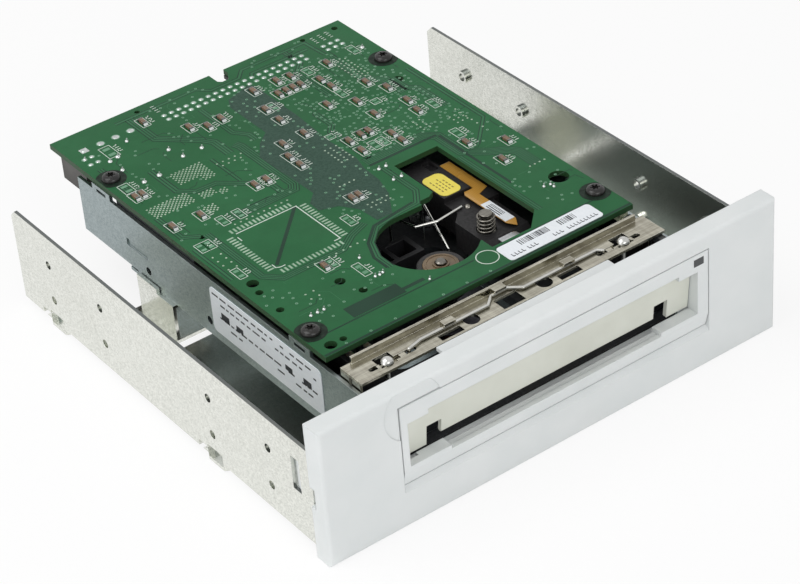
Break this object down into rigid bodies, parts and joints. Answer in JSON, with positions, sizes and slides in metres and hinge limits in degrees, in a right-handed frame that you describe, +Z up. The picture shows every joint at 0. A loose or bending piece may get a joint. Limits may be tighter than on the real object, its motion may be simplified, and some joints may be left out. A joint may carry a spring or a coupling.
{
  "type": "data tape drive",
  "caption": "Slim drive for small tape cartridges, held in a sheet-metal bay tray, with a wide off-white bezel, a sprung door and an open circuit board on top.",
  "frame": {"origin": "middle of the whole part's footprint, level with the bezel's lower edge", "axes": "+X across the front, to the right as seen from the front; +Y from the bezel back into the bay; +Z up"},
  "size_m": [0.148, 0.1648, 0.042],
  "materials": {
    "bezel_plastic": "fine texture",
    "door_plastic": "satin",
    "tray_steel": "galvanised, pale",
    "chassis_steel": "zinc plated",
    "deck_casting": "cast, dull",
    "nickel_plate": "nickel plated",
    "spring_steel": "bright drawn wire",
    "turned_steel": "turned",
    "screw_steel": "zinc plated",
    "board_laminate": "green solder mask",
    "black_plastic": "moulded",
    "chip_epoxy": "moulded",
    "chip_ceramic": "ceramic with tinned ends",
    "can_aluminium": "drawn",
    "natural_nylon": "moulded",
    "pin_plating": "plated",
    "lens_smoke": "clear grey",
    "lamp_resin": "clear",
    "roller_nylon": "moulded",
    "hub_plastic": "moulded",
    "tyre_rubber": "ground",
    "bush_bronze": "sintered",
    "coil_copper": "enamelled wire",
    "ferrite": "ground",
    "head_metal": "lapped",
    "flex_film": "amber film",
    "label_paper": "paper",
    "sticker_paper": "paper"
  },
  "bodies": {
    "housing": {"outer_bezel": "bezel_plastic", "mounting_tray": "tray_steel", "tray_drive_screws": "screw_steel", "drive_chassis": "chassis_steel", "deck_frame": "deck_casting", "deck_screws": "screw_steel", "cartridge_guide_left": "black_plastic", "cartridge_guide_right": "black_plastic", "inner_bezel": "bezel_plastic", "activity_lens": "lens_smoke", "activity_lamp": "lamp_resin", "door_pin": "turned_steel", "door_spring": "spring_steel", "front_plate": "nickel_plate", "latch_wire": "spring_steel", "circuit_board": "board_laminate", "board_screws": "screw_steel", "surface_capacitors": "chip_ceramic", "controller_chips": "chip_epoxy", "filter_capacitors": "can_aluminium", "clock_crystal": "can_aluminium", "power_connector": "natural_nylon", "power_pins": "pin_plating", "data_header": "black_plastic", "header_pins": "pin_plating", "jumper_header": "black_plastic", "jumper_pins": "pin_plating", "arm_pivot_pin": "turned_steel", "mechanism_springs": "spring_steel", "guide_posts": "turned_steel", "post_spring": "spring_steel", "head_stepper": "can_aluminium", "sense_switches": "black_plastic", "tape_sensor": "black_plastic", "side_label": "label_paper", "board_label": "label_paper"},
    "door": {"door_flap": "door_plastic"},
    "latch_left": {"latch_carrier_left": "nickel_plate", "latch_pin_left": "turned_steel"},
    "latch_right": {"latch_carrier_right": "nickel_plate", "latch_pin_right": "turned_steel"},
    "roller_left": {"latch_roller_left": "roller_nylon"},
    "roller_right": {"latch_roller_right": "roller_nylon"},
    "motor_bracket": {"motor_arm": "black_plastic", "arm_bushes": "bush_bronze", "motor_coils": "coil_copper"},
    "capstan": {"capstan_rotor": "ferrite", "capstan_shaft": "turned_steel", "capstan_hub": "hub_plastic", "capstan_tyre": "tyre_rubber"},
    "lead_screw_body": {"lead_screw": "turned_steel"},
    "carriage": {"head_carriage": "black_plastic", "carriage_rivet": "turned_steel", "magnetic_head": "head_metal", "carriage_flex": "flex_film", "carriage_sticker": "sticker_paper", "flex_label": "label_paper"},
    "cartridge_in_button": {"cartridge_in_plunger": "natural_nylon"},
    "write_lock_button": {"write_lock_plunger": "natural_nylon"},
    "jumper": {"jumper_cap": "black_plastic"}
  },
  "joints": [
    {"name": "door_swing", "type": "hinge", "parent": "housing", "child": "door", "pos_m": [0, -0.0795, 0.0339], "axis": [1, 0, 0], "range_deg": [0, 80], "stiffness_Nm_per_rad": 0.0006, "springref_deg": -17.19, "deforming": ["door_spring"]},
    {"name": "latch_left_slide", "type": "slide", "parent": "housing", "child": "latch_left", "axis": [-1, 0, 0], "range_m": [0, 0.0022], "stiffness_N_per_m": 80, "springref_m": -0.001},
    {"name": "latch_right_slide", "type": "slide", "parent": "housing", "child": "latch_right", "axis": [1, 0, 0], "range_m": [0, 0.0022], "stiffness_N_per_m": 80, "springref_m": -0.001},
    {"name": "latch_roller_left_spin", "type": "hinge", "parent": "latch_left", "child": "roller_left", "pos_m": [-0.0394, -0.063, 0.024], "axis": [0, 0, 1], "continuous": true},
    {"name": "latch_roller_right_spin", "type": "hinge", "parent": "latch_right", "child": "roller_right", "pos_m": [0.0378, -0.063, 0.024], "axis": [0, 0, 1], "continuous": true},
    {"name": "motor_arm_swing", "type": "hinge", "parent": "housing", "child": "motor_bracket", "pos_m": [-0.02, -0.0304, 0.018], "axis": [0, 0, 1], "range_deg": [0, 2.5], "stiffness_Nm_per_rad": 0.05, "springref_deg": -3.44},
    {"name": "capstan_spin", "type": "hinge", "parent": "motor_bracket", "child": "capstan", "pos_m": [0, -0.0334, 0.024], "axis": [0, 0, 1], "continuous": true},
    {"name": "head_lift", "type": "slide", "parent": "housing", "child": "carriage", "axis": [0, 0, 1], "range_m": [-0.0022, 0.0022], "deforming": ["post_spring", "mechanism_springs"]},
    {"name": "lead_screw_turn", "type": "hinge", "parent": "housing", "child": "lead_screw_body", "pos_m": [0.0224, 0.003, 0.022], "axis": [0, 0, 1], "range_deg": [-400, 400]},
    {"name": "cartridge_in_press", "type": "slide", "parent": "housing", "child": "cartridge_in_button", "axis": [0, 1, 0], "range_m": [0, 0.0012], "stiffness_N_per_m": 60, "springref_m": -0.0006},
    {"name": "write_lock_press", "type": "slide", "parent": "housing", "child": "write_lock_button", "axis": [0, 1, 0], "range_m": [0, 0.0012], "stiffness_N_per_m": 60, "springref_m": -0.0006},
    {"name": "jumper_pull", "type": "slide", "parent": "housing", "child": "jumper", "axis": [0, 1, 0], "range_m": [0, 0.006]}
  ],
  "couplings": [
    {"joint": "lead_screw_turn", "follows": "head_lift", "rad_per_m": -3141.6}
  ]
}
